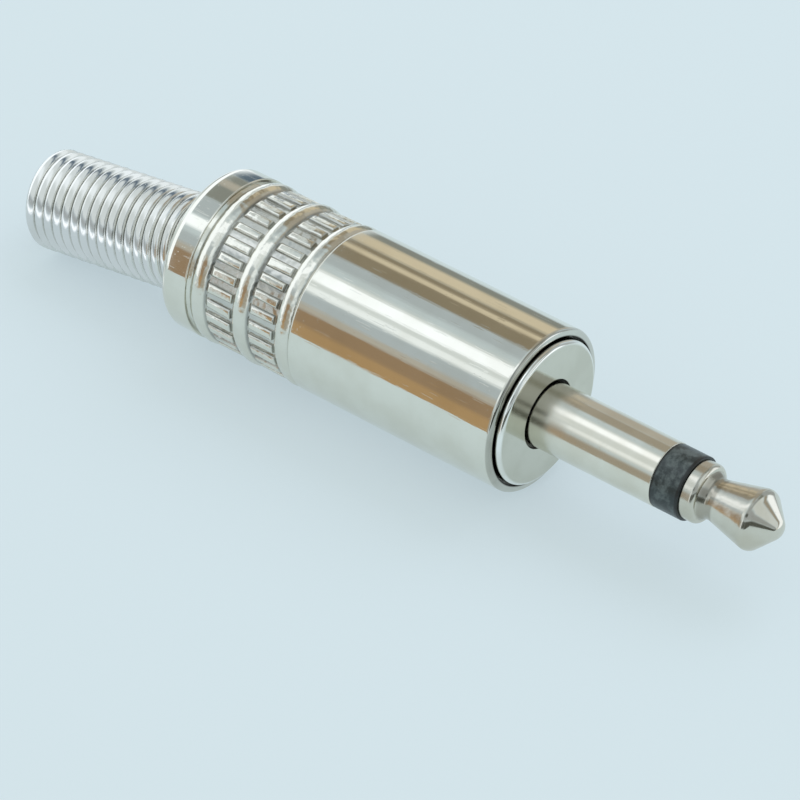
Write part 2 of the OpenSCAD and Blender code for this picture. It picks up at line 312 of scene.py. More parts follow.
@dataclass
class NodeBoard:
    """A node tree with short calls that place and join its nodes."""

    tree: bpy.types.NodeTree

    def feed(self, value: Feed, socket: Socket) -> None:
        """Join a source to an input, or set the input to a plain value.

        Args:
            value: The source socket or the value.
            socket: The input.
        """
        if isinstance(value, Socket):
            self.tree.links.new(value, socket)
        else:
            socket.default_value = value

    def join(self, node: bpy.types.Node, inputs: Inputs) -> None:
        """Give a node's inputs, by name or number, their sources or plain values."""
        for label, value in inputs.items():
            self.feed(value, node.inputs[label])

    def put(self, kind: str, inputs: Inputs | None = None, **settings: object) -> bpy.types.Node:
        """Place a node.

        Args:
            kind: The node's type.
            inputs: Values or source sockets for its inputs, by name or number.
            settings: Properties of the node.

        Returns:
            The new node.
        """
        node = self.tree.nodes.new(kind)
        for name, value in settings.items():
            setattr(node, name, value)
        self.join(node, inputs or {})
        return node

    def reckon(self, operation: str, first: Feed, second: Feed) -> Socket:
        """Join two values by an arithmetic node and return its result."""
        return self.put("ShaderNodeMath", {0: first, 1: second}, operation=operation).outputs[0]

    def plus(self, first: Feed, second: Feed) -> Socket:
        """Add two values."""
        return self.reckon("ADD", first, second)

    def times(self, first: Feed, second: Feed) -> Socket:
        """Multiply two values."""
        return self.reckon("MULTIPLY", first, second)

    def larger(self, first: Feed, second: Feed) -> Socket:
        """Take the larger of two values."""
        return self.reckon("MAXIMUM", first, second)

    def between(self, value: Socket, given: Span, wanted: Span = UNIT) -> Socket:
        """Map a value smoothly from one range to another.

        Args:
            value: The value.
            given: The range that it comes from.
            wanted: The range that it goes to.

        Returns:
            The mapped value.
        """
        inputs: Inputs = {"Value": value}
        for label, (low, high) in (("From", given), ("To", wanted)):
            inputs |= {f"{label} Min": low, f"{label} Max": high}
        return self.put("ShaderNodeMapRange", inputs, interpolation_type="SMOOTHSTEP").outputs["Result"]

    def inside(self, value: Socket, span: Span, soft: float) -> Socket:
        """Tell whether a value lies inside a span.

        Args:
            value: The value.
            span: The span.
            soft: Half the width of its soft ends.

        Returns:
            1 inside the span and 0 outside it.
        """
        low, high = span
        rise = self.between(value, (low - soft, low + soft))
        return self.times(rise, self.between(value, (high - soft, high + soft), (1.0, 0.0)))

    def blend(self, share: Socket, first: Socket | Colour, second: Socket | Colour) -> Socket:
        """Mix two colours.

        Args:
            share: Share of the second colour.
            first: The first colour.
            second: The second colour.

        Returns:
            The mixed colour.
        """
        # Inputs 6 and 7 and output 2 are the node's colours
        node = self.put("ShaderNodeMix", {"Factor": share}, data_type="RGBA")
        for socket, colour in ((node.inputs[6], first), (node.inputs[7], second)):
            self.feed((*colour, 1.0) if isinstance(colour, tuple) else colour, socket)
        return node.outputs[2]

    def noise(
        self, place: Socket, scale: Feed, detail: float, roughness: float = 0.5, line: bool = False
    ) -> Socket:
        """Lay noise over a place.

        Args:
            place: The place, or the run along a line.
            scale: Fineness of the noise.
            detail: Number of finer layers in it.
            roughness: Strength of the finer layers.
            line: Whether the noise runs along a line.

        Returns:
            The noise, from 0 to 1.
        """
        inputs: Inputs = {"Scale": scale, "Detail": detail, "Roughness": roughness}
        inputs["W" if line else "Vector"] = place
        node = self.put("ShaderNodeTexNoise", inputs, noise_dimensions="1D" if line else "3D")
        return node.outputs[0]

    def in_millimetres(self, place: Socket) -> Socket:
        """Turn a place in metres into one in millimetres."""
        return self.put("ShaderNodeVectorMath", {0: place, "Scale": 1.0 / MM}, operation="SCALE").outputs[0]

    def axial(self, place: Socket) -> Axial:
        """Take a place in metres apart into its run along the axis, its radius and its turn.

        Args:
            place: The place.

        Returns:
            Run and radius in millimetres, and the turn in degrees, 0 up and 90 towards -Y.
        """
        parts = self.put("ShaderNodeSeparateXYZ", {0: self.in_millimetres(place)}).outputs
        across = self.put("ShaderNodeCombineXYZ", {"Y": parts["Y"], "Z": parts["Z"]}).outputs[0]
        radius = self.put("ShaderNodeVectorMath", {0: across}, operation="LENGTH").outputs["Value"]
        angle = self.reckon("ARCTAN2", self.times(parts["Y"], -1.0), parts["Z"])
        return Axial(parts["X"], radius, self.times(angle, 180.0 / math.pi))

    def show(self, shader: bpy.types.Node) -> None:
        """Let a material show a shader."""
        self.feed(shader.outputs[0], self.tree.nodes["Material Output"].inputs["Surface"])


def new_material(name: str) -> tuple[bpy.types.Material, bpy.types.Node]:
    """Start a material.

    Args:
        name: The material's name.

    Returns:
        The material and its Principled shader.
    """
    material = bpy.data.materials.new(name)
    material.use_nodes = True
    return material, material.node_tree.nodes["Principled BSDF"]


@dataclass
class SurfaceEffects:
    """Node groups that several finishes share, each built once, and how their scratches run."""

    streak_scale: Place = (0.3, 6.5, 6.5)
    crossing_scale: Place = (0.5, 9.0, 9.0)
    crossing_tilt: Place = (0.3, 0.5, 0.4)
    turning: bpy.types.NodeTree = field(init=False)
    wear: bpy.types.NodeTree = field(init=False)
    mottle: bpy.types.NodeTree = field(init=False)

    def __post_init__(self) -> None:
        """Build the three groups."""
        self.turning = self.build_turning()
        self.wear = self.build_wear()
        self.mottle = self.build_mottle()

    @staticmethod
    def new_group(name: str, fineness: str, outputs: Sequence[str]) -> NodeBoard:
        """Start a group that takes a place in metres and a fineness.

        Args:
            name: The group's name.
            fineness: Name of its value input.
            outputs: Names of its value outputs.

        Returns:
            The group's board.
        """
        tree = bpy.data.node_groups.new(name, "ShaderNodeTree")
        tree.interface.new_socket("Place", in_out="INPUT", socket_type="NodeSocketVector")
        tree.interface.new_socket(fineness, in_out="INPUT", socket_type="NodeSocketFloat")
        for label in outputs:
            tree.interface.new_socket(label, in_out="OUTPUT", socket_type="NodeSocketFloat")
        return NodeBoard(tree)

    def build_turning(self) -> bpy.types.NodeTree:
        """Build the fine rings that a lathe tool leaves.

        Returns:
            The group, with values over place and radius.
        """
        board = self.new_group("turning_rings", "Lines per mm", ("Rings", "Bands"))
        given = board.put("NodeGroupInput").outputs
        axial = board.axial(given["Place"])
        run = board.plus(axial.run, axial.radius)
        lines = board.times(run, given["Lines per mm"])
        rings = board.noise(lines, scale=1.0, detail=3.0, roughness=0.6, line=True)
        bands = board.between(board.noise(run, scale=2.2, detail=2.0, line=True), (0.35, 0.65))
        board.put("NodeGroupOutput", {"Rings": rings, "Bands": bands})
        return board.tree

    def build_wear(self) -> bpy.types.NodeTree:
        """Build the scratches, pits and cloudy places of handled plating.

        Returns:
            The group.
        """
        board = self.new_group("plating_wear", "Pits per mm", ("Scratches", "Pits", "Clouds"))
        given = board.put("NodeGroupInput").outputs
        place = board.in_millimetres(given["Place"])
        drawn = board.put("ShaderNodeMapping", {"Vector": place, "Scale": self.streak_scale})
        streaks = board.noise(drawn.outputs[0], scale=1.0, detail=3.0)
        tilt = {"Vector": place, "Rotation": self.crossing_tilt, "Scale": self.crossing_scale}
        crossed = board.put("ShaderNodeMapping", tilt)
        crossing = board.noise(crossed.outputs[0], scale=1.0, detail=1.0)
        scratches = board.larger(streaks, board.between(crossing, (0.64, 0.74)))
        cells = {"Vector": place, "Scale": given["Pits per mm"]}
        distance = board.put("ShaderNodeTexVoronoi", cells, feature="F1").outputs["Distance"]
        sparse = board.between(board.noise(place, scale=1.7, detail=1.0), (0.48, 0.62))
        pits = board.times(board.between(distance, (0.10, 0.26), (1.0, 0.0)), sparse)
        clouds = board.between(board.noise(place, scale=0.45, detail=4.0), (0.35, 0.68))
        board.put("NodeGroupOutput", {"Scratches": scratches, "Pits": pits, "Clouds": clouds})
        return board.tree

    def build_mottle(self) -> bpy.types.NodeTree:
        """Build the uneven skin and the fine grain of pressed or moulded material.

        Returns:
            The group.
        """
        board = self.new_group("moulded_mottle", "Spots per mm", ("Spots", "Grain", "Lumps"))
        given = board.put("NodeGroupInput").outputs
        place, fineness = board.in_millimetres(given["Place"]), given["Spots per mm"]
        spots = board.between(board.noise(place, fineness, detail=4.0, roughness=0.65), (0.4, 0.66))
        grain = board.noise(place, scale=14.0, detail=2.0)
        lumps = board.noise(place, fineness, detail=1.0)
        board.put("NodeGroupOutput", {"Spots": spots, "Grain": grain, "Lumps": lumps})
        return board.tree


@dataclass
class SurfaceBoard(NodeBoard):
    """The board of a finish, with the shared node groups and the place on the piece in metres."""

    effects: SurfaceEffects
    place: Socket = field(init=False)

    def __post_init__(self) -> None:
        """Read the place from the piece's own coordinates."""
        self.place = self.put("ShaderNodeTexCoord").outputs["Object"]

    def effect(self, group: bpy.types.NodeTree, fineness: float) -> bpy.types.NodeOutputs:
        """Place a shared group at its fineness and return its outputs."""
        return self.put("ShaderNodeGroup", {0: self.place, 1: fineness}, node_tree=group).outputs


@dataclass(frozen=True)
class PaintedLightRing:
    """A ring of painted light or shade laid over a surface: its run along the axis and its radii.

    Its turn round the axis leaves it whole or keeps it to one side, and it is thinnest where the
    patches are lowest.
    """

    run: Span
    radius: Span
    colour: Colour
    soft: float = 0.04
    turn: Span = ALL_ROUND
    turn_soft: float = 16.0
    thinnest: float = 0.65

    def lay_over(self, board: NodeBoard, axial: Axial, patches: Socket, colour: Socket) -> Socket:
        """Lay the ring's painted light or shade over a surface's colour.

        Args:
            board: The material's board.
            axial: The place on the plug.
            patches: Value from 0 to 1 that makes the ring patchy.
            colour: Colour of the surface under it.

        Returns:
            The colour with the ring on it.
        """
        along = board.inside(axial.run, self.run, self.soft)
        ring = board.times(along, board.inside(axial.radius, self.radius, self.soft))
        if self.turn != ALL_ROUND:
            ring = board.times(ring, board.inside(axial.turn, self.turn, self.turn_soft))
        share = board.times(ring, board.between(patches, UNIT, (self.thinnest, 1.0)))
        return board.blend(share, colour, self.colour)


@dataclass(frozen=True, kw_only=True)
class Finish(ABC):
    """A surface in two tones, each with its roughness, and its rings of painted light and shade."""

    name: str
    colour: Colour
    second_colour: Colour
    roughness: float
    second_roughness: float
    metallic: float = 0.0
    specular: float = 0.5
    rings: tuple[PaintedLightRing, ...] = ()

    @abstractmethod
    def lay_out(self, board: SurfaceBoard) -> Surface:
        """Lay out the finish over the surface."""

    def lay_colour(self, board: SurfaceBoard, share: Socket, patches: Socket) -> Socket:
        """Mix the two tones and lay the rings of painted light and shade over them.

        Args:
            board: The material's board.
            share: Share of the second tone.
            patches: Value from 0 to 1 that makes the rings patchy.

        Returns:
            The colour.
        """
        colour = board.blend(share, self.colour, self.second_colour)
        if self.rings:
            axial = board.axial(board.place)
            for ring in self.rings:
                colour = ring.lay_over(board, axial, patches, colour)
        return colour

    def make(self, effects: SurfaceEffects) -> bpy.types.Material:
        """Build the material.

        Args:
            effects: The shared node groups.

        Returns:
            The finished material.
        """
        material, shader = new_material(self.name)
        board = SurfaceBoard(material.node_tree, effects)
        surface = self.lay_out(board)
        bump = board.put("ShaderNodeBump", {"Height": surface.relief, "Strength": 1.0, "Distance": MICRON})
        board.join(shader, {
            "Base Color": surface.colour,
            "Roughness": surface.roughness,
            "Normal": bump.outputs["Normal"],
            "Metallic": self.metallic,
            "Specular IOR Level": self.specular,
        })
        return material


@dataclass(frozen=True, kw_only=True)
class PlatedMetal(Finish):
    """A plated or tinned metal with its fine lines, scratches, pits and clouds, depths in microns.

    Lines round the axis are the tool's and come with bands, lines along it are scratches.
    """

    metallic: float = 1.0
    lay: Lay = Lay.ROUND
    lines_per_mm: float = 8.0
    line_depth: float
    scratch_depth: float = 0.4
    pits_per_mm: float = 6.0
    pit_depth: float = 1.5
    band_share: float = 0.4
    cloudiest: float = 1.4

    def lay_out(self, board: SurfaceBoard) -> Surface:
        """Lay out the plating, its wear and its lines.

        Args:
            board: The material's board.

        Returns:
            Colour, roughness and relief.
        """
        wear = board.effect(board.effects.wear, self.pits_per_mm)
        lines, cloudy = wear["Scratches"], wear["Clouds"]
        if self.lay is Lay.ROUND:
            turning = board.effect(board.effects.turning, self.lines_per_mm)
            lines = turning["Rings"]
            cloudy = board.plus(cloudy, board.times(turning["Bands"], self.band_share))
        colour = self.lay_colour(board, board.larger(wear["Pits"], wear["Clouds"]), wear["Clouds"])
        rough = board.between(cloudy, (0.0, self.cloudiest), (self.roughness, self.second_roughness))
        scratches = board.times(wear["Scratches"], self.scratch_depth)
        raised = board.plus(board.times(lines, self.line_depth), scratches)
        relief = board.reckon("SUBTRACT", raised, board.times(wear["Pits"], self.pit_depth))
        return Surface(colour, rough, relief)


@dataclass(frozen=True, kw_only=True)
class UnevenMetal(PlatedMetal):
    """Plated metal with a stretch that is rougher and may be lumpy."""

    stretch: Span
    stretch_roughness: float
    stretch_soft: float = 0.04
    lumps_per_mm: float = 1.6
    lump_height: float = 0.0

    def lay_out(self, board: SurfaceBoard) -> Surface:
        """Lay out the plating, with the uneven skin on its stretch.

        Args:
            board: The material's board.

        Returns:
            Colour, roughness and relief.
        """
        even = super().lay_out(board)
        skin = board.effect(board.effects.mottle, self.lumps_per_mm)
        here = board.inside(board.axial(board.place).run, self.stretch, self.stretch_soft)
        rough = board.larger(even.roughness, board.times(here, self.stretch_roughness))
        lumps = board.times(board.times(skin["Lumps"], here), self.lump_height)
        return Surface(even.colour, rough, board.plus(even.relief, lumps))


@dataclass(frozen=True, kw_only=True)
class PressedMaterial(Finish):
    """A moulded plastic or pressed fibre with an uneven skin, its grain's depth in microns."""

    spots_per_mm: float
    grain_depth: float

    def lay_out(self, board: SurfaceBoard) -> Surface:
        """Lay out the mottled skin.

        Args:
            board: The material's board.

        Returns:
            Colour, roughness and relief.
        """
        skin = board.effect(board.effects.mottle, self.spots_per_mm)
        colour = self.lay_colour(board, skin["Spots"], skin["Lumps"])
        rough = board.between(skin["Spots"], UNIT, (self.roughness, self.second_roughness))
        relief = board.times(board.plus(skin["Grain"], skin["Spots"]), self.grain_depth)
        return Surface(colour, rough, relief)


# Near-black painted shade for gaps and recesses
RECESS_SHADE: Colour = (0.05, 0.045, 0.038)
# Near-black painted shade for the seams of the black ring
SEAM_SHADE: Colour = (0.006, 0.007, 0.007)
GRIP_RUN: Span = (-19.90, -13.22)
LIP_RUN: Span = (-0.50, -0.30)
LIP_RADIUS: Span = (4.05, 4.60)
RING_SKIN: Span = (1.4, 1.8)

SHELL_NICKEL = UnevenMetal(
    name="shell_nickel", colour=(0.80, 0.79, 0.71), second_colour=(0.755, 0.74, 0.655),
    roughness=0.05, second_roughness=0.10, lay=Lay.ALONG, line_depth=1.6, scratch_depth=0.8,
    pits_per_mm=5.0, pit_depth=0.8,
    stretch=(-19.92, -13.26), stretch_roughness=0.18, lumps_per_mm=2.1, lump_height=38.0,
    rings=(
        # Painted shade with some dirt on the floors between the ribs, painted shade on the ribs' flanks,
        # and painted light that brightens the groove by the flange
        PaintedLightRing(GRIP_RUN, (4.0, 4.22), (0.62, 0.62, 0.58), soft=0.02),
        PaintedLightRing(GRIP_RUN, (4.225, 4.330), (0.36, 0.36, 0.335), soft=0.05),
        PaintedLightRing((-20.08, -19.90), (4.0, 4.36), (0.90, 0.90, 0.86)),
        # Painted shade on the lip of the mouth, darker on its near side, and in the gap round the collar
        PaintedLightRing(LIP_RUN, LIP_RADIUS, (0.64, 0.635, 0.58), soft=0.05),
        PaintedLightRing(LIP_RUN, LIP_RADIUS, (0.41, 0.40, 0.345), soft=0.05, turn=(4.0, 120.0)),
        PaintedLightRing((-0.95, -0.20), (3.6, 4.14), RECESS_SHADE),
    ),
)
COLLAR_NICKEL = PlatedMetal(
    name="collar_nickel", colour=(0.68, 0.67, 0.58), second_colour=(0.63, 0.62, 0.53),
    roughness=0.09, second_roughness=0.15, lines_per_mm=9.0, line_depth=0.5, scratch_depth=0.3,
    rings=(
        # Painted shade in the relief round the pin and on the disc's edge in the mouth, and a painted
        # highlight on its rounding
        PaintedLightRing((-0.60, -0.03), (1.4, 1.95), RECESS_SHADE),
        PaintedLightRing((-0.68, -0.29), (3.9, 4.1), RECESS_SHADE),
        PaintedLightRing((-0.25, -0.01), (3.75, 4.0), (0.97, 0.97, 0.93), soft=0.03),
    ),
)
SLEEVE_NICKEL = UnevenMetal(
    name="sleeve_nickel", colour=(0.81, 0.79, 0.70), second_colour=(0.75, 0.72, 0.62),
    roughness=0.07, second_roughness=0.13, line_depth=0.4,
    stretch=(-0.5, 2.2), stretch_roughness=0.24, stretch_soft=1.0,
)
TIP_NICKEL = UnevenMetal(
    name="tip_nickel", colour=(0.71, 0.685, 0.60), second_colour=(0.62, 0.585, 0.49),
    roughness=0.09, second_roughness=0.13, line_depth=0.6,
    stretch=(9.1, 12.9), stretch_roughness=0.19, lump_height=20.0,
    # Painted shade in the neck
    rings=(PaintedLightRing((9.95, 10.80), (0.9, 1.30), (0.34, 0.31, 0.25), soft=0.10),),
)
WIRE_NICKEL = PlatedMetal(
    name="wire_nickel", colour=(0.82, 0.82, 0.79), second_colour=(0.76, 0.76, 0.72),
    roughness=0.11, second_roughness=0.20, lay=Lay.ALONG, line_depth=1.0, scratch_depth=1.6,
    pits_per_mm=8.0, pit_depth=3.5,
)
TINNED_BRASS = PlatedMetal(
    name="tinned_brass", colour=(0.74, 0.71, 0.64), second_colour=(0.62, 0.55, 0.42),
    roughness=0.28, second_roughness=0.42, lay=Lay.ALONG, line_depth=0.8, scratch_depth=0.8,
    pits_per_mm=5.0,
)
BLACK_PLASTIC = PressedMaterial(
    name="black_plastic", colour=(0.022, 0.033, 0.036), second_colour=(0.098, 0.125, 0.130),
    roughness=0.28, second_roughness=0.44, spots_per_mm=2.1, grain_depth=4.0,
    # Painted shade in the seams to the sleeve and to the tip
    rings=tuple(PaintedLightRing(run, RING_SKIN, SEAM_SHADE) for run in ((7.40, 7.60), (9.00, 9.25))),
)
LINER_PLASTIC = PressedMaterial(
    name="liner_plastic", colour=(0.86, 0.85, 0.80), second_colour=(0.80, 0.78, 0.71),
    roughness=0.38, second_roughness=0.48, spots_per_mm=1.2, grain_depth=2.0,
)
PRESSED_FIBRE = PressedMaterial(
    name="pressed_fibre", colour=(0.30, 0.17, 0.10), second_colour=(0.21, 0.11, 0.06),
    roughness=0.62, second_roughness=0.75, spots_per_mm=5.0, grain_depth=6.0, specular=0.3,
)


def show_piece(
    piece: bpy.types.Object, body: Body, slot: Slot, material: bpy.types.Material, *nodes: str
) -> None:
    """Give a finished piece its material, its body and the solids it stands for.

    Args:
        piece: The finished piece.
        body: The body it rides on.
        slot: The record's material slot of its finish; not used.
        material: The finish.
        nodes: The solids that it stands for.
    """
    piece.data.materials.clear()
    piece.data.materials.append(material)
    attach(piece, body.value)
    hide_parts(*nodes)
    triangles = sum(len(face.vertices) - 2 for face in piece.data.polygons)
    LOG.info("%s rides on %s, %d triangles", piece.name, body.value, triangles)


@dataclass
class Shell:
    """The screw-on shell: flange, three beads, two ribbed bands and the polished barrel."""

    rear_x: float = -21.86
    mouth_x: float = -0.36
    outer_r: float = 4.5
    ground_r: float = 4.2
    rear_round: float = 0.55
    flange_x: float = -20.06
    flange_round: float = 0.05
    groove_w: float = 0.14
    bead_r: float = 0.6727
    bead_x: tuple[float, float, float] = (-19.36, -16.56, -13.76)
    bead_steps: int = 16
    barrel_x: float = -13.20
    barrel_round: float = 0.07
    rib_r: float = 4.40
    rib_foot: float = 0.54
    rib_length: float = 1.62
    rib_sink: float = 0.1
    rib_count: int = 30
    rib_round: float = 0.19
    rib_round_steps: int = 5
    rib_waver: float = 0.065
    rib_seed: int = 3
    bore_r: float = 3.70
    thread_bore_r: float = 3.84
    thread_end_x: float = -5.6
    mouth_r: float = 4.08
    mouth_round: float = 0.2
    lip_round: float = 0.04
    seat_x: float = -0.77
    seat_round: float = 0.03
    hole_r: float = 3.3
    hole_round: float = 0.15
    rear_wall_x: float = -20.86
    faces_round: int = 288

    def profile(self) -> Profile:
        """Lay out the shell's section, from the rear hole over the outside and back through the bore.

        Returns:
            The section's points.
        """
        rear = rounded([
            (self.rear_wall_x, self.hole_r, 0.0),
            (self.rear_x, self.hole_r, self.hole_round),
            (self.rear_x, self.outer_r, self.rear_round),
            (self.flange_x, self.outer_r, self.flange_round),
            (self.flange_x, self.ground_r, 0.0),
            (self.flange_x + self.groove_w, self.ground_r, 0.0),
        ])
        lift = math.degrees(math.asin((self.ground_r - self.outer_r + self.bead_r) / self.bead_r))
        beads: Profile = []
        for x in self.bead_x:
            beads += arc((x, self.outer_r - self.bead_r), self.bead_r, 180 - lift, lift, self.bead_steps)
        front = rounded([
            (self.barrel_x, self.ground_r, 0.0),
            (self.barrel_x, self.outer_r, self.barrel_round),
            (self.mouth_x, self.outer_r, self.mouth_round),
            (self.mouth_x, self.mouth_r, self.lip_round),
            (self.seat_x, self.mouth_r, 0.0),
            (self.seat_x, self.thread_bore_r, self.seat_round),
            (self.thread_end_x, self.thread_bore_r, 0.0),
            (self.thread_end_x, self.bore_r, 0.0),
            (self.rear_wall_x, self.bore_r, 0.0),
            (self.rear_wall_x, self.hole_r, 0.0),
        ])
        return rear + beads + front

    def build_ribs(self) -> Workpiece:
        """Shape one rib of the rear band, copy it round both bands, and round all their upper edges.

        Returns:
            The ribs, no two quite alike.
        """
        middle = (self.bead_x[0] + self.bead_x[1]) / 2
        band_step = self.bead_x[1] - self.bead_x[0]
        low = self.ground_r - self.rib_sink
        copies = self.rib_count - 1
        ribs = Workpiece("grip_ribs", Stock.BLOCK)
        bpy.ops.transform.resize(value=(self.rib_length, self.rib_foot, self.rib_r - low))
        bpy.ops.transform.translate(value=(middle, 0.0, (low + self.rib_r) / 2))
        sweep = math.tau * copies / self.rib_count
        bpy.ops.mesh.spin(steps=copies, dupli=True, angle=sweep, center=ORIGIN, axis=AXIS)
        bpy.ops.mesh.select_all(action="SELECT")
        bpy.ops.mesh.duplicate_move(TRANSFORM_OT_translate={"value": (band_step, 0.0, 0.0)})
        ribs.weld()
        ribs.pick(lambda place: math.hypot(place.y, place.z) > (low + self.rib_r) / 2)
        bpy.ops.transform.vertex_random(offset=self.rib_waver, seed=self.rib_seed)
        steps = self.rib_round_steps
        bpy.ops.mesh.bevel(offset=self.rib_round, segments=steps, profile=0.5, affect="EDGES")
        return ribs

    def build(self) -> bpy.types.Object:
        """Turn the shell and join the ribs to it.

        Returns:
            The finished shell.
        """
        ribs = self.build_ribs()
        shell = turned("shell_body", self.profile(), self.faces_round)
        shell.take_in(ribs)
        return shell.finish()

    def dress(self, effects: SurfaceEffects) -> None:
        """Build the shell and give it its finish."""
        show_piece(self.build(), Body.SHELL, Slot.SHELL, SHELL_NICKEL.make(effects), "shell")


@dataclass
class Collar:
    """The front collar: satin disc with a relief round the pin, and the threaded body."""

    disc_r: float = 3.96
    disc_t: float = 0.75
    disc_round: float = 0.24
    disc_back_round: float = 0.04
    relief_r: float = 1.91
    relief_depth: float = 0.42
    relief_round: float = 0.03
    relief_foot_round: float = 0.02
    bore_r: float = 1.53
    bore_round: float = 0.02
    undercut_r: float = 3.55
    undercut_x: float = -1.15
    undercut_run: float = 0.05
    undercut_round: float = 0.03
    back_x: float = -5.15
    back_round: float = 0.1
    core_r: float = 3.50
    crest_r: float = 3.79
    pitch: float = 0.5
    thread_gap: float = 0.3
    thread_sink: float = 0.03
    foot_share: float = 0.46
    crest_share: float = 0.07
    thread_turns: int = 7
    thread_steps: int = 72
    faces_round: int = 240

    def profile(self) -> Profile:
        """Lay out the collar's section without its thread.

        Returns:
            The section's points.
        """
        return rounded([
            (-self.relief_depth, self.bore_r, 0.0),
            (-self.relief_depth, self.relief_r, self.relief_foot_round),
            (0.0, self.relief_r, self.relief_round),
            (0.0, self.disc_r, self.disc_round),
            (-self.disc_t, self.disc_r, self.disc_back_round),
            (-self.disc_t, self.undercut_r, self.undercut_round),
            (self.undercut_x, self.undercut_r, 0.0),
            (self.undercut_x - self.undercut_run, self.core_r, 0.0),
            (self.back_x, self.core_r, self.back_round),
            (self.back_x, self.bore_r, self.bore_round),
            (-self.relief_depth, self.bore_r, 0.0),
        ])

    def build_thread(self) -> Workpiece:
        """Wind the thread's ridge round the collar's body, its foot sunk in the core.

        Returns:
            The ridge.
        """
        start, foot_r = self.undercut_x - self.thread_gap, self.core_r - self.thread_sink
        half, flat = self.pitch * self.foot_share, self.pitch * self.crest_share
        section = [
            (start + half, foot_r),
            (start + flat, self.crest_r),
            (start - flat, self.crest_r),
            (start - half, foot_r),
            (start + half, foot_r),
        ]
        thread = Workpiece("collar_thread")
        thread.draw([Vector((x, 0.0, r)) for x, r in section])
        thread.weld()
        make_active(thread.obj)
        bpy.ops.object.modifier_add(type="SCREW")
        screw = thread.obj.modifiers[-1]
        screw.axis = "X"
        screw.angle = -math.tau
        screw.screw_offset = -self.pitch
        screw.iterations = self.thread_turns
        screw.steps = self.thread_steps
        screw.render_steps = self.thread_steps
        bpy.ops.object.modifier_apply(modifier=screw.name)
        bpy.ops.object.mode_set(mode="EDIT")
        bpy.ops.mesh.select_all(action="SELECT")
        bpy.ops.mesh.fill_holes(sides=0)
        thread.weld()
        return thread

    def build(self) -> bpy.types.Object:
        """Turn the collar and join its thread to it.

        Returns:
            The finished collar.
        """
        thread = self.build_thread()
        collar = turned("collar_disc", self.profile(), self.faces_round)
        collar.take_in(thread)
        return collar.finish()

    def dress(self, effects: SurfaceEffects) -> None:
        """Build the collar and give it its finish."""
        show_piece(self.build(), Body.PLUG, Slot.COLLAR, COLLAR_NICKEL.make(effects), "front_collar")


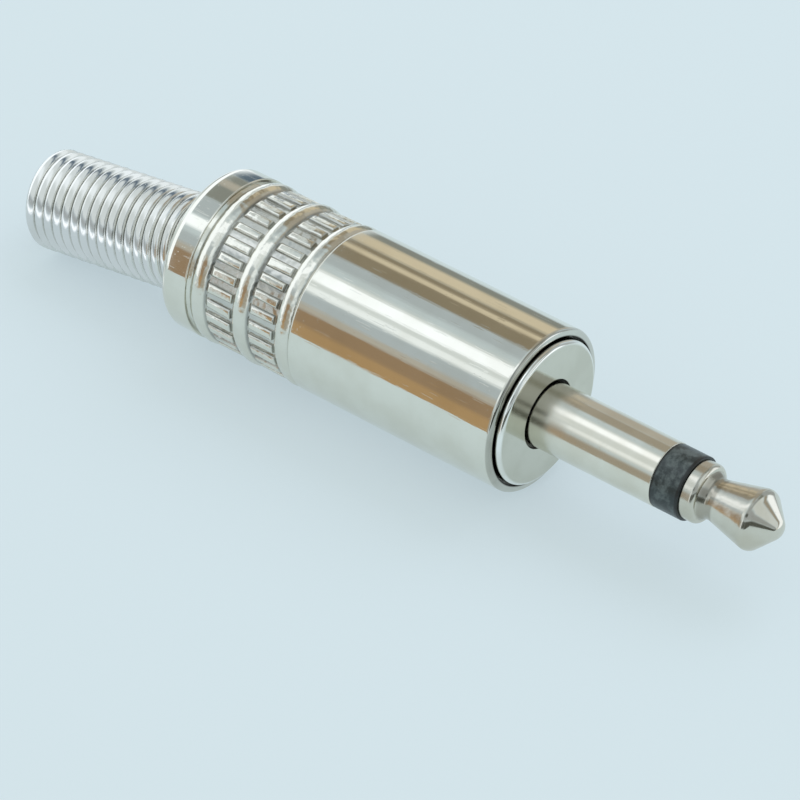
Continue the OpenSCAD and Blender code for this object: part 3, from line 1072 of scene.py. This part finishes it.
@dataclass
class Pin:
    """The plug pin: sleeve contact, insulating ring with its tube, and the tip on its rod."""

    sleeve_r: float = 1.75
    seat_x: float = -0.42
    ring_x: float = 7.5
    tip_x: float = 9.16
    edge_round: float = 0.05
    shank_r: float = 1.5
    sleeve_bore_r: float = 1.16
    sleeve_end_x: float = -5.9
    rivet_x: float = -5.55
    rivet_r: float = 1.78
    rivet_round: float = 0.22
    ring_r: float = 1.73
    tube_r: float = 1.13
    tube_bore_r: float = 0.83
    tube_round: float = 0.04
    rod_r: float = 0.8
    rod_end_x: float = -7.45
    rod_end_round: float = 0.25
    rod_head_x: float = -7.1
    rod_head_r: float = 1.08
    rod_head_round: float = 0.04
    foot_round: float = 0.06
    shoulder_r: float = 1.59
    shoulder_x: float = 9.96
    shoulder_round: float = 0.28
    neck_r: float = 1.1
    neck_x: Span = (10.31, 10.51)
    neck_rounds: Span = (0.3, 0.25)
    wide_r: float = 1.695
    wide_x: float = 12.96
    wide_round: float = 0.55
    nose_round: float = 0.8
    end_x: float = 14.28
    round_steps: int = 10
    faces_round: int = 192

    def build_sleeve(self) -> bpy.types.Object:
        """Turn the sleeve contact with its riveted end.

        Returns:
            The finished sleeve.
        """
        section = rounded([
            (self.ring_x, self.sleeve_bore_r, 0.0),
            (self.ring_x, self.sleeve_r, self.edge_round),
            (self.seat_x, self.sleeve_r, 0.0),
            (self.seat_x, self.shank_r, 0.0),
            (self.rivet_x, self.shank_r, 0.0),
            (self.rivet_x, self.rivet_r, self.edge_round),
            (self.sleeve_end_x, self.rivet_r, self.rivet_round),
            (self.sleeve_end_x, self.sleeve_bore_r, self.edge_round),
            (self.ring_x, self.sleeve_bore_r, 0.0),
        ])
        return turned("pin_sleeve", section, self.faces_round).finish()

    def build_ring(self) -> bpy.types.Object:
        """Turn the insulating ring with the tube that runs back through the sleeve.

        Returns:
            The finished ring.
        """
        section = rounded([
            (self.tip_x, self.tube_bore_r, 0.0),
            (self.tip_x, self.ring_r, self.edge_round),
            (self.ring_x, self.ring_r, self.edge_round),
            (self.ring_x, self.tube_r, 0.0),
            (self.sleeve_end_x, self.tube_r, self.tube_round),
            (self.sleeve_end_x, self.tube_bore_r, self.tube_round),
            (self.tip_x, self.tube_bore_r, 0.0),
        ])
        return turned("pin_insulator", section, self.faces_round).finish()

    def build_tip(self) -> bpy.types.Object:
        """Turn the tip: round shoulder, neck, cone and nose, on the rod with its riveted head.

        Returns:
            The finished tip.
        """
        middle_x = self.end_x - self.nose_round
        run = Vector((self.wide_x - middle_x, self.wide_r))
        touch = math.atan2(run.y, run.x) - math.acos(self.nose_round / run.length)
        nose = arc((middle_x, 0.0), self.nose_round, 0.0, math.degrees(touch), self.round_steps)
        inset = Vector((self.shoulder_x - self.shoulder_round, self.shoulder_r - self.shoulder_round))
        shoulder = arc((inset.x, inset.y), self.shoulder_round, 0.0, 90.0, self.round_steps)
        front = rounded([
            (nose[-1].x, nose[-1].y, 0.0),
            (self.wide_x, self.wide_r, self.wide_round),
            (self.neck_x[1], self.neck_r, self.neck_rounds[1]),
            (self.neck_x[0], self.neck_r, self.neck_rounds[0]),
            (self.shoulder_x, shoulder[0].y, 0.0),
        ])
        rear = rounded([
            (shoulder[-1].x, self.shoulder_r, 0.0),
            (self.tip_x, self.shoulder_r, self.foot_round),
            (self.tip_x, self.rod_r, 0.0),
            (self.rod_head_x, self.rod_r, 0.0),
            (self.rod_head_x, self.rod_head_r, self.rod_head_round),
            (self.rod_end_x, self.rod_head_r, self.rod_end_round),
            (self.rod_end_x, 0.0, 0.0),
        ])
        section = nose[:-1] + front[:-1] + shoulder[:-1] + rear
        return turned("pin_tip", section, self.faces_round).finish()

    def dress(self, effects: SurfaceEffects) -> None:
        """Build the pin's pieces and give them their finishes.

        Args:
            effects: The shared node groups.
        """
        sleeve, ring, tip = self.build_sleeve(), self.build_ring(), self.build_tip()
        show_piece(sleeve, Body.PLUG, Slot.CONTACT, SLEEVE_NICKEL.make(effects), "sleeve_contact")
        show_piece(ring, Body.PLUG, Slot.INSULATOR, BLACK_PLASTIC.make(effects), "front_insulator")
        show_piece(tip, Body.PLUG, Slot.CONTACT, TIP_NICKEL.make(effects), "tip_contact")


@dataclass
class Spring:
    """The close-wound spring: wide turns inside the shell, one narrowing turn, then the straight body."""

    wire_d: float = 0.58
    rise: float = 0.615
    turns: float = 22.6
    inner_run: float = 2.9875
    start: float = -70.0
    coil_r: float = 2.43
    flare_r: float = 3.21
    flare_turns: float = 1.5
    rear_x: float = -21.86
    sag: float = 0.35
    droop: float = 7.6
    lean: float = 2.0
    steps: int = 48
    wire_steps: int = 4
    smooth: float = 50.0

    def path(self) -> list[Vector]:
        """Lay out the wire's middle line, in the frame.

        Returns:
            The line's points.
        """
        place = (
            Matrix.Translation((self.rear_x, 0.0, -self.sag))
            @ Matrix.Rotation(math.radians(self.lean), 4, "Z")
            @ Matrix.Rotation(math.radians(-90.0 - self.droop), 4, "Y")
        )
        points = []
        count = math.ceil(self.turns * self.steps)
        for i in range(count + 1):
            t = self.turns * i / count
            wide = 1.0 - min(1.0, max(0.0, t - self.flare_turns))
            radius = self.coil_r + (self.flare_r - self.coil_r) * wide
            angle = math.radians(self.start) + math.tau * t
            height = self.rise * t - self.inner_run
            points.append(place @ Vector((radius * math.cos(angle), radius * math.sin(angle), height)))
        return points

    def build(self) -> bpy.types.Object:
        """Draw the wire's line, give it its round section and close its ends.

        Returns:
            The finished spring.
        """
        wire = Workpiece("relief_spring")
        wire.draw(self.path())
        make_active(wire.obj)
        bpy.ops.object.convert(target="CURVE")
        curve = bpy.context.active_object.data
        curve.dimensions = "3D"
        curve.fill_mode = "FULL"
        curve.bevel_depth = self.wire_d / 2
        curve.bevel_resolution = self.wire_steps
        curve.use_fill_caps = True
        bpy.ops.object.convert(target="MESH")
        wire.obj = bpy.context.active_object
        bpy.ops.object.mode_set(mode="EDIT")
        wire.weld()
        return wire.finish(self.smooth)

    def dress(self, effects: SurfaceEffects) -> None:
        """Build the spring and give it its finish."""
        material = WIRE_NICKEL.make(effects)
        show_piece(self.build(), Body.SPRING, Slot.SPRING, material, "strain_relief_spring")


@dataclass
class Insides:
    """The pieces inside the shell that keep their solids, by their finishes."""

    solids: tuple[tuple[Finish, tuple[str, ...]], ...] = (
        (LINER_PLASTIC, ("insulating_liner",)),
        (PRESSED_FIBRE, ("rear_insulator",)),
        (TINNED_BRASS, ("sleeve_tag", "tip_tag")),
    )

    def dress(self, effects: SurfaceEffects) -> None:
        """Give each solid its finish.

        Args:
            effects: The shared node groups.
        """
        for finish, nodes in self.solids:
            material = finish.make(effects)
            for node in nodes:
                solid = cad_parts[node]
                solid.data.materials.clear()
                solid.data.materials.append(material)
                LOG.info("%s keeps its solid, finish %s", node, finish.name)


class Tone(Enum):
    """Colours of the studio's cards, as light."""

    WHITE = (1.22, 1.30, 1.40)
    GLOW = (1.00, 1.08, 1.14)
    SILVER = (0.76, 0.83, 0.86)
    PALE = (0.60, 0.70, 0.76)
    DIM = (0.48, 0.55, 0.60)
    SMOKE = (0.42, 0.46, 0.48)
    SHADE = (0.27, 0.29, 0.27)
    SLATE = (0.12, 0.17, 0.23)
    COAL = (0.10, 0.11, 0.10)
    TAN = (0.70, 0.62, 0.47)
    SAND = (0.50, 0.48, 0.43)
    CLAY = (0.40, 0.37, 0.31)
    DUSK = (0.29, 0.25, 0.18)
    AMBER = (0.46, 0.31, 0.16)
    UMBER = (0.34, 0.24, 0.15)


@dataclass(frozen=True)
class Card:
    """One card of a light tent: its tone, its turn round the plug and its run along it.

    The two soft widths are those of its long edges, in degrees, and of its ends, in mm.
    """

    tone: Tone
    turn: Span
    run: Span = EVERYWHERE
    soft: float = 3.0
    end_soft: float = 0.7


BEHIND: Span = (-500.0, -40.6)
BY_FLANGE: Span = (-40.6, -37.5)
BY_GRIP: Span = (-37.5, -31.3)
BY_BARREL: Span = (-31.3, -15.1)
BY_SHELL: Span = (-40.6, -15.1)
BY_PIN: Span = (-15.1, 1.0)
BY_EDGES: Span = (1.0, 9.0)
BY_FACE: Span = (9.0, 24.0)
BEFORE: Span = (24.0, 500.0)

# Each card lies over the ones before it
STUDIO_CARDS: tuple[Card, ...] = (
    Card(Tone.WHITE, (-130.0, 130.0), BEHIND),
    Card(Tone.SLATE, (-93.0, -62.0), BY_FLANGE),
    Card(Tone.SHADE, (-62.0, -8.0), BY_FLANGE),
    Card(Tone.SAND, (-47.0, -34.0), BY_FLANGE, 4.0),
    Card(Tone.DIM, (-8.0, 17.0), BY_FLANGE),
    Card(Tone.WHITE, (20.0, 35.0), BY_FLANGE),
    Card(Tone.SILVER, (-100.0, 66.0), BY_GRIP),
    Card(Tone.GLOW, (-84.0, -46.0), BY_GRIP, 6.0),
    Card(Tone.WHITE, (20.0, 42.0), BY_GRIP),
    Card(Tone.SHADE, (-94.0, -16.0), BY_BARREL),
    Card(Tone.TAN, (-75.0, -52.0), BY_BARREL, 5.0),
    Card(Tone.DUSK, (-51.0, -15.0), BY_BARREL),
    Card(Tone.TAN, (-43.0, -35.0), BY_BARREL),
    Card(Tone.DIM, (-15.0, 0.0), BY_BARREL),
    Card(Tone.SILVER, (9.0, 43.0), BY_BARREL),
    Card(Tone.WHITE, (13.0, 27.0), BY_BARREL, 2.0),
    Card(Tone.GLOW, (34.0, 42.0), BY_BARREL, 2.0),
    Card(Tone.SAND, (-86.0, -48.0), BY_PIN, 6.0),
    Card(Tone.CLAY, (-48.0, -16.0), BY_PIN, 4.0),
    Card(Tone.SILVER, (2.0, 62.0), BY_PIN, 5.0),
    Card(Tone.WHITE, (8.0, 25.0), BY_PIN, 5.0),
    Card(Tone.GLOW, (46.0, 57.0), BY_PIN, 4.0),
    Card(Tone.CLAY, (72.0, 108.0), BY_PIN, 6.0),
    Card(Tone.DIM, (43.0, 66.0), BY_SHELL, 4.0),
    Card(Tone.SAND, (57.0, 66.0), BY_SHELL),
    Card(Tone.UMBER, (65.0, 106.0), BY_SHELL, 2.0),
    Card(Tone.AMBER, (82.0, 106.0), BY_BARREL, 4.0),
    Card(Tone.SILVER, (60.0, 106.0), BY_GRIP),
    Card(Tone.CLAY, (-60.0, 0.0), BY_EDGES, 5.0, 1.5),
    Card(Tone.GLOW, (60.0, 104.0), BY_EDGES, 5.0, 1.5),
    Card(Tone.SMOKE, (-110.0, 66.0), BY_FACE, 5.0, 2.0),
    Card(Tone.SHADE, (-44.0, -20.0), BY_FACE, 4.0, 2.0),
    Card(Tone.COAL, (42.0, 54.0), BY_FACE, 3.0, 2.0),
    Card(Tone.COAL, (70.0, 94.0), BY_FACE, 3.0, 2.0),
    Card(Tone.WHITE, (-112.0, -64.0), BEFORE, 3.0, 3.0),
    Card(Tone.CLAY, (-60.0, -46.0), BEFORE, 3.0, 3.0),
    Card(Tone.SILVER, (-42.0, 16.0), BEFORE, 4.0, 3.0),
    Card(Tone.SMOKE, (24.0, 62.0), BEFORE, 5.0, 3.0),
    Card(Tone.COAL, (68.0, 110.0), BEFORE, 4.0, 3.0),
)
SPRING_CARDS: tuple[Card, ...] = (
    Card(Tone.PALE, (-140.0, -96.0)),
    Card(Tone.SILVER, (-96.0, 76.0)),
    Card(Tone.GLOW, (-72.0, -52.0)),
    Card(Tone.SLATE, (-42.0, -27.0), soft=7.0),
    Card(Tone.GLOW, (6.0, 34.0), soft=8.0),
    Card(Tone.SMOKE, (78.0, 90.0), soft=5.0),
    Card(Tone.WHITE, (95.0, 103.0)),
)


@dataclass
class LightTent:
    """A pale tube round the plug with coloured cards in it, which only polished surfaces see."""

    name: str
    cards: tuple[Card, ...]
    radius: float
    ends: Span
    faces_round: int = 96

    def build(self) -> None:
        """Turn the tube, paint the cards on it and hide it from all but reflections."""
        tent = turned(self.name, [Vector((x, self.radius)) for x in self.ends], self.faces_round).finish()
        material, shader = new_material(f"{self.name}_light")
        board = NodeBoard(material.node_tree)
        material.cycles.emission_sampling = "NONE"
        board.tree.nodes.remove(shader)
        axial = board.axial(board.put("ShaderNodeTexCoord").outputs["Object"])
        light: Socket | Colour = Tone.PALE.value
        for card in self.cards:
            across = board.inside(axial.turn, card.turn, card.soft)
            share = board.times(across, board.inside(axial.run, card.run, card.end_soft))
            light = board.blend(share, light, card.tone.value)
        board.show(board.put("ShaderNodeEmission", {"Color": light, "Strength": 1.0}))
        tent.data.materials.append(material)
        for sight in ("camera", "diffuse", "transmission", "volume_scatter", "shadow"):
            setattr(tent, f"visible_{sight}", False)
        LOG.info("%s stands round the plug, %d cards", self.name, len(self.cards))


@dataclass
class Studio:
    """The pale table, the soft light, the tents that the polished metal sees, and the camera."""

    floor_z: float = -4.5
    floor_size: float = 3000.0
    floor_colour: Colour = (0.68, 0.80, 0.86)
    floor_roughness: float = 0.8
    floor_glow: float = 0.58
    sky_colour: Colour = (0.80, 0.81, 0.75)
    tents: tuple[LightTent, ...] = (
        LightTent("studio_tent", STUDIO_CARDS, radius=34.0, ends=(-400.0, 300.0)),
        LightTent("spring_tent", SPRING_CARDS, radius=5.2, ends=(-35.5, -23.4)),
    )
    lamp_colour: Colour = (0.97, 0.98, 1.18)
    lamp_power: float = 0.36
    lamp_size: float = 300.0
    lamp_place: Place = (20.0, 250.0, 330.0)
    target: Place = (-9.471, 0.0, -4.003)
    azimuth: float = 38.647
    elevation: float = 39.763
    distance: float = 249.88
    lens: float = 218.86
    sensor: float = 36.0
    clip: Span = (5.0, 10000.0)

    def build_floor(self) -> None:
        """Lay the pale table under the plug: part of its paleness is its own, the rest takes the shadow."""
        clear_selection()
        bpy.ops.mesh.primitive_plane_add(size=self.floor_size * MM, location=(0.0, 0.0, self.floor_z * MM))
        floor = bpy.context.active_object
        floor.name = "table"
        material, shader = new_material("pale_table")
        board = NodeBoard(material.node_tree)
        colour = (*self.floor_colour, 1.0)
        plain = {"Base Color": colour, "Roughness": self.floor_roughness, "Specular IOR Level": 0.0}
        board.join(shader, plain)
        rays = board.put("ShaderNodeLightPath").outputs
        seen = board.larger(rays["Is Camera Ray"], rays["Is Glossy Ray"])
        seen = board.larger(seen, rays["Is Transmission Ray"])
        share = board.times(seen, self.floor_glow)
        own = board.put("ShaderNodeEmission", {"Color": colour, "Strength": 1.0})
        board.show(board.put("ShaderNodeMixShader", {0: share, 1: shader.outputs[0], 2: own.outputs[0]}))
        floor.data.materials.append(material)

    def build_sky(self) -> None:
        """Fill the world with even pale light."""
        world = bpy.data.worlds.new("studio_light")
        bpy.context.scene.world = world
        world.use_nodes = True
        world.node_tree.nodes["Background"].inputs["Color"].default_value = (*self.sky_colour, 1.0)

    def build_lamp(self) -> None:
        """Hang the soft lamp above and behind the plug."""
        clear_selection()
        bpy.ops.object.light_add(type="AREA", location=tuple(c * MM for c in self.lamp_place))
        lamp = bpy.context.active_object
        lamp.name = "soft_lamp"
        lamp.data.energy = self.lamp_power
        lamp.data.color = self.lamp_colour
        lamp.data.size = self.lamp_size * MM
        aim = Vector(self.lamp_place) - Vector(self.target)
        lamp.rotation_euler = aim.to_track_quat("Z", "Y").to_euler()
        lamp.visible_glossy = False

    def build_camera(self) -> None:
        """Place the camera at the picture's angle."""
        clear_selection()
        turn, rise = math.radians(self.azimuth), math.radians(self.elevation)
        back = Vector((math.sin(turn) * math.cos(rise), -math.cos(turn) * math.cos(rise), math.sin(rise)))
        bpy.ops.object.camera_add(location=(Vector(self.target) + back * self.distance) * MM)
        camera = bpy.context.active_object
        camera.rotation_euler = back.to_track_quat("Z", "Y").to_euler()
        camera.data.lens = self.lens
        camera.data.sensor_width = self.sensor
        camera.data.clip_start = self.clip[0] * MM
        camera.data.clip_end = self.clip[1] * MM
        bpy.context.scene.camera = camera

    def build(self) -> None:
        """Set up the floor, the light, the camera and the plain view transform."""
        self.build_floor()
        self.build_sky()
        for tent in self.tents:
            tent.build()
        self.build_lamp()
        self.build_camera()
        bpy.context.scene.view_settings.view_transform = "Standard"
        LOG.info("studio ready")


def main() -> None:
    """Build and dress the plug piece by piece."""
    logging.basicConfig(level=logging.INFO, format="%(name)s: %(message)s")
    Studio().build()
    effects = SurfaceEffects()
    for assembly in (Shell(), Collar(), Pin(), Spring(), Insides()):
        assembly.dress(effects)
    clear_selection()


if __name__ == "__main__":
    main()
